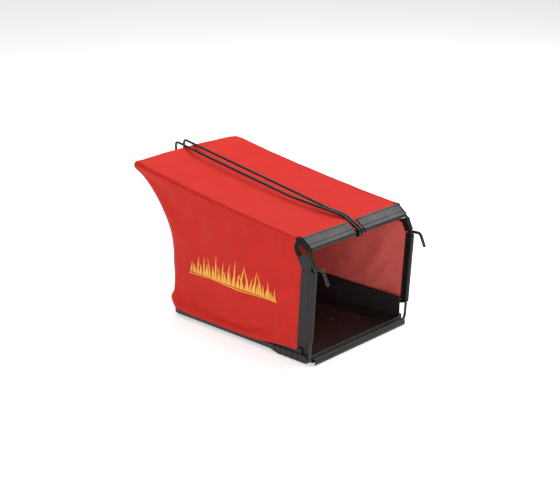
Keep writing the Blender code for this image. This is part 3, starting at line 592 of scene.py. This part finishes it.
for vert, one, two in zip(bag_mesh.vertices, before, after):
    moved = two - one
    vert.co = one + moved * min(1.0, MOST_MOVED / max(moved.length, 1e-9))
finer = bag.modifiers.new("finer", "SUBSURF")
finer.levels = finer.render_levels = 1
finer.boundary_smooth = "PRESERVE_CORNERS"
bag_mesh = bpy.data.meshes.new_from_object(bag.evaluated_get(bpy.context.evaluated_depsgraph_get()))
bag.modifiers.remove(finer)
bag.data = bag_mesh
for face in bag_mesh.polygons:
    face.use_smooth = True
cloth_face = BVHTree.FromPolygons([vert.co for vert in bag_mesh.vertices],
                                  [face.vertices[:] for face in bag_mesh.polygons])


def woven(name, dark, light, roughness, pitch, line_pitch, line_depth, bump_height):
    """Plain-weave cloth on its own cloth coordinates: threads, heavier lines, and slow changes of tone."""
    material, tree, shader = new_finish(name)
    where = add(tree, "ShaderNodeUVMap", uv_map="Weave").outputs["UV"]
    apart = add(tree, "ShaderNodeSeparateXYZ", {"Vector": where})

    def maths(operation, first, second=0.0, third=0.0):
        return add(tree, "ShaderNodeMath", {0: first, 1: second, 2: third}, operation=operation).outputs[0]

    across = maths("MULTIPLY", apart.outputs["X"], 1 / pitch)
    up = maths("MULTIPLY", apart.outputs["Y"], 1 / pitch)
    over = maths("MODULO", maths("ADD", maths("FLOOR", across), maths("FLOOR", up)), 2.0)
    over = maths("ABSOLUTE", over)
    warp = maths("ABSOLUTE", maths("SINE", maths("MULTIPLY", across, math.pi)))
    weft = maths("ABSOLUTE", maths("SINE", maths("MULTIPLY", up, math.pi)))
    threads = add(tree, "ShaderNodeMix", {"Factor": over, "A": warp, "B": weft}).outputs["Result"]
    lines = maths("ABSOLUTE", maths("SINE", maths("MULTIPLY", apart.outputs["Y"], math.pi / line_pitch)))
    lines = maths("POWER", lines, 0.6)
    cloud = add(tree, "ShaderNodeTexNoise", {"Vector": where, "Scale": 22.0, "Detail": 6.0,
                                             "Roughness": 0.62})
    fibre = add(tree, "ShaderNodeTexNoise", {"Vector": where, "Scale": 420.0, "Detail": 2.0})
    tone = maths("ADD", maths("MULTIPLY", threads, 0.28),
                 maths("ADD", maths("MULTIPLY", cloud.outputs["Fac"], 0.42),
                       maths("MULTIPLY", fibre.outputs["Fac"], 0.30)))
    tone = maths("MULTIPLY", tone, maths("MULTIPLY_ADD", lines, line_depth, 1 - line_depth))
    colour = add(tree, "ShaderNodeValToRGB", {"Fac": tone})
    colour.color_ramp.elements[0].position, colour.color_ramp.elements[1].position = 0.25, 0.70
    colour.color_ramp.elements[0].color = (*dark, 1.0)
    colour.color_ramp.elements[1].color = (*light, 1.0)
    tree.links.new(colour.outputs["Color"], shader.inputs["Base Color"])
    uneven = add(tree, "ShaderNodeMapRange", {"Value": tone, "From Min": 0.2, "From Max": 0.8,
                                              "To Min": roughness + 0.10, "To Max": roughness - 0.06})
    tree.links.new(uneven.outputs["Result"], shader.inputs["Roughness"])
    height = maths("ADD", threads, maths("MULTIPLY", lines, line_depth * 2))
    bump = add(tree, "ShaderNodeBump", {"Height": height, "Distance": bump_height, "Strength": 0.7})
    tree.links.new(bump.outputs["Normal"], shader.inputs["Normal"])
    shader.inputs["Specular IOR Level"].default_value = 0.12
    return material


outer_cloth = woven("coated_cloth_outside", (0.50, 0.0155, 0.0100), (0.66, 0.0235, 0.0155), 0.52, 0.0021,
                    0.0021, 0.0, 0.00012)
# The inside face is the paler, uncoated side of the weave. Its colour is also lifted well above the outside's,
# as painted light for the shaded inside of the bag.
inner_cloth = woven("cloth_inside", (0.66, 0.102, 0.086), (0.98, 0.210, 0.180), 0.75, 0.0021, 0.0044, 0.5,
                    0.0003)
bag_mesh.materials.append(outer_cloth)
bag_mesh.materials.append(inner_cloth)
thickness = bag.modifiers.new("cloth_thickness", "SOLIDIFY")
thickness.thickness = CLOTH
thickness.offset = -1.0
thickness.material_offset = 1
thickness.material_offset_rim = 1
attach(bag, "root")
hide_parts("bag_top_panel", "bag_side_panel_left", "bag_side_panel_right", "bag_rear_panel")

# ---- seams and stitching --------------------------------------------------------------------
# The sides are joined to the roof and the back by felled seams: the edges are folded together into a
# raised band and sewn down with two rows of red thread. The lower hem has one row.
SEAM_WIDTH, SEAM_RISE, SEAM_UNDER = 0.0085, 0.0007, 0.0004
THREAD_ROWS, HEM_ROW = (0.0018, 0.0066), 0.0125  # rows in from the edge of a seam, and up from the hem


def on_bag(places, lift):
    """Places on the sharp-edged bag, put on the sewn cloth's outer face and raised by lift."""
    found = []
    for place in rounded(np.array(places, float)):
        spot, normal, _, _ = cloth_face.find_nearest(Vector(place))
        found.append(spot + normal * lift)
    return found


def seam_band(name, rows):
    """A folded band: rows of places across it, laid on the cloth, with a back so that it is closed."""
    count, wide = len(rows), len(rows[0])
    places = np.array(rows, float).reshape(-1, 3)
    top = []
    for k, place in enumerate(on_bag(places, 0.0)):
        spot, normal, _, _ = cloth_face.find_nearest(place)
        share = (k % wide) / (wide - 1)
        top.append(spot + normal * SEAM_RISE * min(1.0, 6 * share, 6 * (1 - share)) ** 0.5)
    back = []
    for place in top:
        spot, normal, _, _ = cloth_face.find_nearest(place)
        back.append(spot - normal * SEAM_UNDER)
    verts, faces, size = top + back, [], count * wide
    for i in range(count - 1):
        for j in range(wide - 1):
            a, b, c, d = i * wide + j, (i + 1) * wide + j, (i + 1) * wide + j + 1, i * wide + j + 1
            faces += [(a, b, c, d), (a + size, d + size, c + size, b + size)]
        for j in (0, wide - 1):
            a, b = i * wide + j, (i + 1) * wide + j
            faces.append((a, b, b + size, a + size))
    for i in (0, count - 1):
        for j in range(wide - 1):
            a = i * wide + j
            faces.append((a, a + 1, a + 1 + size, a + size))
    mesh = bpy.data.meshes.new(name)
    mesh.from_pydata(verts, [], faces)
    shape = bmesh.new()
    shape.from_mesh(mesh)
    bmesh.ops.recalc_face_normals(shape, faces=shape.faces)
    for face in shape.faces:
        face.smooth = True
    weave = shape.loops.layers.uv.new("Weave")
    for face in shape.faces:
        for loop in face.loops:
            loop[weave].uv = (loop.vert.co.x + loop.vert.co.z, loop.vert.co.y - MOUTH)
    shape.to_mesh(mesh)
    shape.free()
    return place_piece(name, mesh, outer_cloth, "bag_cloth", "root")


stitch_rows, hem_rows = [], []
over_seam = np.linspace(0.0, SEAM_WIDTH, 7)
for side, word in ((-1, "left"), (1, "right")):
    run = np.linspace(0.0435, ROOF_REAR - 0.004, 114)
    rows = [[(side * (BAG_HALF - inset), y, float(roof_height(y))) for inset in over_seam] for y in run]
    seam_band("roof_seam_" + word, rows)
    for inset in THREAD_ROWS:
        stitch_rows.append([(side * (BAG_HALF - inset), y, float(roof_height(y))) for y in run])
    run = np.linspace(0.0225, ROOF_HIGH - 0.010, 90)
    rows = [[(side * (BAG_HALF - inset), float(back_place(z)), z) for inset in over_seam] for z in run]
    seam_band("back_seam_" + word, rows)
    for inset in THREAD_ROWS:
        stitch_rows.append([(side * (BAG_HALF - inset), float(back_place(z)), z) for z in run])
    hem_rows.append([(side * BAG_HALF, y, float(foot_height(y)) + HEM_ROW)
                     for y in np.linspace(0.05, BASE_REAR - 0.002, 90)])
hem_rows.append([(x, BASE_REAR, 0.0335) for x in np.linspace(-BAG_HALF + 0.002, BAG_HALF - 0.002, 70)])

thread_mesh = bpy.data.meshes.new("bag_stitching")
verts, edges = [], []
for row in stitch_rows + hem_rows:
    start = len(verts)
    verts += on_bag(row, 0.0002 if row in hem_rows else SEAM_RISE)
    edges += [(k, k + 1) for k in range(start, len(verts) - 1)]
thread_mesh.from_pydata(verts, edges, [])
thread = moulded("red_thread", (0.42, 0.010, 0.006), (0.55, 0.016, 0.010), 0.6, 1500.0, 0.0001)


def stitch_tree():
    """Running stitches along the edges of a mesh: one small loaf of thread for each stitch."""
    tree = bpy.data.node_groups.new("running_stitches", "GeometryNodeTree")
    face = tree.interface
    face.new_socket("Geometry", in_out="INPUT", socket_type="NodeSocketGeometry")
    for name, value in (("Pitch", 0.0034), ("Stitch Length", 0.0026), ("Thread Radius", 0.00038)):
        socket = face.new_socket(name, in_out="INPUT", socket_type="NodeSocketFloat")
        socket.default_value = value
    face.new_socket("Thread", in_out="INPUT", socket_type="NodeSocketMaterial")
    face.new_socket("Geometry", in_out="OUTPUT", socket_type="NodeSocketGeometry")
    given = add(tree, "NodeGroupInput").outputs
    line = add(tree, "GeometryNodeMeshToCurve", {"Mesh": given["Geometry"]})
    spaced = add(tree, "GeometryNodeResampleCurve", {"Curve": line.outputs["Curve"],
                                                     "Length": given["Pitch"]}, mode="LENGTH")
    tangent = add(tree, "GeometryNodeInputTangent")
    turned = add(tree, "FunctionNodeAlignEulerToVector", {"Vector": tangent.outputs["Tangent"]}, axis="X")
    ball = add(tree, "GeometryNodeMeshUVSphere", {"Segments": 8, "Rings": 5,
                                                  "Radius": given["Thread Radius"]})
    ratio = add(tree, "ShaderNodeMath", {0: given["Stitch Length"], 1: given["Thread Radius"]},
                operation="DIVIDE")
    half = add(tree, "ShaderNodeMath", {0: ratio.outputs[0], 1: 0.5}, operation="MULTIPLY")
    size = add(tree, "ShaderNodeCombineXYZ", {"X": half.outputs[0], "Y": 1.0, "Z": 1.0})
    placed = add(tree, "GeometryNodeInstanceOnPoints", {"Points": spaced.outputs["Curve"],
                                                        "Instance": ball.outputs["Mesh"],
                                                        "Rotation": turned.outputs["Rotation"],
                                                        "Scale": size.outputs["Vector"]})
    real = add(tree, "GeometryNodeRealizeInstances", {"Geometry": placed.outputs["Instances"]})
    smooth = add(tree, "GeometryNodeSetShadeSmooth", {"Geometry": real.outputs["Geometry"]})
    dyed = add(tree, "GeometryNodeSetMaterial", {"Geometry": smooth.outputs["Geometry"],
                                                 "Material": given["Thread"]})
    add(tree, "NodeGroupOutput", {"Geometry": dyed.outputs["Geometry"]})
    return tree


def grown(mesh, tree, **values):
    """The plain mesh that a tree makes from a mesh, with the named inputs set first."""
    holder = bpy.data.objects.new("holder", mesh)
    bpy.context.scene.collection.objects.link(holder)
    modifier = holder.modifiers.new("grow", "NODES")
    modifier.node_group = tree
    for item in tree.interface.items_tree:
        if item.in_out == "INPUT" and item.name in values:
            modifier[item.identifier] = values[item.name]
    made = bpy.data.meshes.new_from_object(holder.evaluated_get(bpy.context.evaluated_depsgraph_get()))
    holder.modifiers.remove(modifier)
    bpy.data.objects.remove(holder)
    return made


stitching = grown(thread_mesh, stitch_tree(), Thread=thread)
stitching.name = "bag_stitching"
place_piece("bag_stitching", stitching, thread, "bag_cloth", "root")

# ---- corner bindings ------------------------------------------------------------------------
# Round each top corner of the frame the side is cut away, and the cut edge is bound with a wide black
# woven tape, folded over it and sewn. The same tape runs over the crease to the end of the top strip.
TAPE_IN, TAPE_OUT, TAPE_PROUD = 0.0120, 0.0228, 0.0008

tape = woven("edge_tape", (0.006, 0.006, 0.006), (0.016, 0.0155, 0.015), 0.7, 0.0011, 0.0011, 0.0, 0.0002)
for side, word in ((-1, "left"), (1, "right")):
    shape = bmesh.new()
    weave = shape.loops.layers.uv.new("Weave")
    rings, turns = [], np.radians(np.linspace(-64, 66, 48))
    outer, inner = BAG_HALF, BAG_HALF - CLOTH
    section = [(TAPE_OUT, outer - 0.0002), (TAPE_OUT - 0.0003, outer + TAPE_PROUD * 0.7),
               (TAPE_OUT - 0.0012, outer + TAPE_PROUD),
               ((TAPE_IN + TAPE_OUT) / 2, outer + TAPE_PROUD * 1.25),
               (TAPE_IN + 0.0014, outer + TAPE_PROUD * 1.1),
               (TAPE_IN + 0.0004, outer + TAPE_PROUD * 0.4), (TAPE_IN, (outer + inner) / 2),
               (TAPE_IN + 0.0004, inner - TAPE_PROUD * 0.4), (TAPE_IN + 0.0014, inner - TAPE_PROUD),
               (TAPE_OUT - 0.0012, inner - TAPE_PROUD),
               (TAPE_OUT, inner + 0.0002)]
    for turn in turns:
        rings.append([shape.verts.new(at(side * across, RING_BACK + radius * math.cos(turn),
                                         TOP_HEIGHT + radius * math.sin(turn)))
                      for radius, across in section])
    for i in range(len(rings) - 1):
        for j in range(len(section)):
            k = (j + 1) % len(section)
            shape.faces.new((rings[i][j], rings[i + 1][j], rings[i + 1][k], rings[i][k]))
    shape.faces.new(rings[0])
    shape.faces.new(rings[-1])
    bmesh.ops.recalc_face_normals(shape, faces=shape.faces)
    for face in shape.faces:
        face.smooth = len(face.verts) == 4
        for loop in face.loops:
            y, z = loop.vert.co.y - MOUTH - RING_BACK, loop.vert.co.z - TOP_HEIGHT
            loop[weave].uv = (math.atan2(z, y) * 0.025, math.hypot(y, z) + abs(loop.vert.co.x))
    mesh = bpy.data.meshes.new("bound_corner_" + word)
    shape.to_mesh(mesh)
    shape.free()
    place_piece("bound_corner_" + word, mesh, tape, "edge_tape", "root", "corner_binding_" + word)
    shape = bmesh.new()
    weave = shape.loops.layers.uv.new("Weave")
    layers = []
    for proud in (TAPE_PROUD, -CLOTH - TAPE_PROUD):
        rows = []
        for y in np.linspace(0.0190, 0.0475, 11):
            roof, row = float(roof_height(y)) + proud, []
            for behind, drop in ((0.0100, 0), (0.0070, 0), (0.0045, 0), (0.0022, 0.0004), (0.0007, 0.0014),
                                 (0.0, 0.0032), (0.0, 0.0055)):
                row.append(shape.verts.new(at(side * (BAG_HALF + proud - behind), y, roof - drop)))
            rows.append(row)
        layers.append(rows)
        for one, two in zip(rows, rows[1:]):
            for k in range(len(one) - 1):
                shape.faces.new((one[k], one[k + 1], two[k + 1], two[k]))
    top, under = layers
    rim = [*top[0], *[row[-1] for row in top[1:]], *top[-1][-2::-1], *[row[0] for row in top[-2:0:-1]]]
    low_rim = [*under[0], *[row[-1] for row in under[1:]], *under[-1][-2::-1],
               *[row[0] for row in under[-2:0:-1]]]
    for k in range(len(rim)):
        n = (k + 1) % len(rim)
        shape.faces.new((rim[k], rim[n], low_rim[n], low_rim[k]))
    bmesh.ops.recalc_face_normals(shape, faces=shape.faces)
    for face in shape.faces:
        face.smooth = True
        for loop in face.loops:
            loop[weave].uv = (loop.vert.co.x + loop.vert.co.z, loop.vert.co.y)
    mesh = bpy.data.meshes.new("roof_tape_" + word)
    shape.to_mesh(mesh)
    shape.free()
    place_piece("roof_tape_" + word, mesh, tape, "edge_tape", "root")

# ---- printed grass motif --------------------------------------------------------------------
# Each side carries a plain printed band of yellow grass blades over a ground line, screen-printed in
# thick ink that follows the cloth.
PRINT_FRONT, PRINT_REAR, PRINT_GROUND = 0.100, 0.360, 0.117
INK_LIFT = 0.00025

ink, tree, shader = new_finish("yellow_ink")
where = add(tree, "ShaderNodeTexCoord").outputs["Object"]
cloud = add(tree, "ShaderNodeTexNoise", {"Vector": where, "Scale": 160.0, "Detail": 5.0})
colour = add(tree, "ShaderNodeValToRGB", {"Fac": cloud.outputs["Fac"]})
colour.color_ramp.elements[0].color = (0.86, 0.40, 0.030, 1.0)
colour.color_ramp.elements[1].color = (1.0, 0.58, 0.060, 1.0)
tree.links.new(colour.outputs["Color"], shader.inputs["Base Color"])
bump = add(tree, "ShaderNodeBump", {"Height": cloud.outputs["Fac"], "Distance": 0.0002, "Strength": 0.5})
tree.links.new(bump.outputs["Normal"], shader.inputs["Normal"])
shader.inputs["Roughness"].default_value = 0.55


def blade(root, height, lean, width):
    """Left and right edge of one grass blade, from its root to its tip, as places in the side's plane."""
    edges = []
    for step in range(9):
        share = step / 8
        middle = root + lean * share ** 1.8
        half = width * (1 - share ** 1.4) / 2 + 0.0001
        edges.append(((middle - half, PRINT_GROUND + height * share),
                      (middle + half, PRINT_GROUND + height * share)))
    return edges


ribbons = []
ground = [((y, PRINT_GROUND - 0.0035 - 0.0012 * math.sin(38 * y)),
           (y, PRINT_GROUND - 0.0013 - 0.0012 * math.sin(38 * y + 0.5)))
          for y in np.linspace(PRINT_FRONT, PRINT_REAR, 60)]
ribbons.append(ground)
draw = np.random.default_rng(11)
for k, root in enumerate(np.linspace(PRINT_FRONT + 0.006, PRINT_REAR - 0.006, 40)):
    swell = 0.45 + 0.55 * math.sin(math.pi * (root - PRINT_FRONT) / (PRINT_REAR - PRINT_FRONT)) ** 0.8
    tall = 0.058 * swell * (0.62 if k % 3 else 1.0) * draw.uniform(0.8, 1.05)
    ribbons.append(blade(root + draw.uniform(-0.001, 0.001), tall, draw.uniform(-0.014, 0.014) * swell,
                         0.0042 + 0.0016 * swell))
for side, word in ((-1, "left"), (1, "right")):
    shape = bmesh.new()
    for ribbon in ribbons:
        pairs = [on_bag([(side * BAG_HALF, *one), (side * BAG_HALF, *two)], INK_LIFT)
                 for one, two in ribbon]
        rows = [(shape.verts.new(one), shape.verts.new(two)) for one, two in pairs]
        for (a, b), (c, d) in zip(rows, rows[1:]):
            shape.faces.new((a, b, d, c) if side > 0 else (a, c, d, b))
    for face in shape.faces:
        face.smooth = True
    mesh = bpy.data.meshes.new("grass_print_" + word)
    shape.to_mesh(mesh)
    shape.free()
    printed = place_piece("grass_print_" + word, mesh, ink, "bag_cloth", "root")
    layer = printed.modifiers.new("ink_thickness", "SOLIDIFY")
    layer.thickness = INK_LIFT * 1.6
    layer.offset = -1.0

# ---- hanger bail ----------------------------------------------------------------------------
# The bail is one 5 mm wire doubled back on itself: its bight is an eye round the frame's top bar, and
# its two legs spread over the roof and end in hooks behind the bag. It swings forward over the mouth.
BAIL = 0.0028
EYE = 0.0063
EYE_WRAP = math.radians(213)
LEGS_CLOSE, LEGS_WIDE = 0.0042, 0.0125


def over_roof(x, y, lift):
    return at(x, y, float(roof_height(y)) + lift)


def bail_leg(side):
    corners = [at(side * LEGS_WIDE, 0.546, 0.318), at(side * LEGS_WIDE, 0.546, 0.3423),
               over_roof(side * LEGS_WIDE, 0.195, 0.0044), over_roof(side * LEGS_CLOSE, 0.105, 0.0044),
               over_roof(side * LEGS_CLOSE, 0.056, 0.0052)]
    neck = corners[-1] - pivot
    leave = math.atan2(neck.z, neck.y) + math.acos(EYE / math.hypot(neck.y, neck.z))
    eye = []
    for turn in np.linspace(leave, leave + EYE_WRAP, 22):
        eye.append(Vector((side * LEGS_CLOSE, pivot.y + EYE * math.cos(turn),
                           pivot.z + EYE * math.sin(turn))))
    ahead = Vector((0, math.cos(leave + EYE_WRAP + math.pi / 2), math.sin(leave + EYE_WRAP + math.pi / 2)))
    return bent(corners + eye[:1], [0.0075, 0.04, 0.04, 0.010]) + eye[1:], ahead


left_leg, ahead = bail_leg(-1)
right_leg, ahead = bail_leg(1)
bight = (left_leg[-1] + right_leg[-1]) / 2
turn_round = [bight + Vector((-math.cos(turn) * LEGS_CLOSE, 0, 0)) + ahead * math.sin(turn) * LEGS_CLOSE
              for turn in np.linspace(0, math.pi, 12)[1:-1]]
bail_coat = moulded("bail_black_coat", (0.004, 0.004, 0.004), (0.008, 0.008, 0.0075), 0.30, 420.0, 0.0004)
place_piece("bail_wire_bent", tube("bail_wire_bent", left_leg + turn_round + right_leg[::-1], BAIL, 20),
            bail_coat, "coated_wire", "bail", "bail_wire")

bpy.context.view_layer.update()
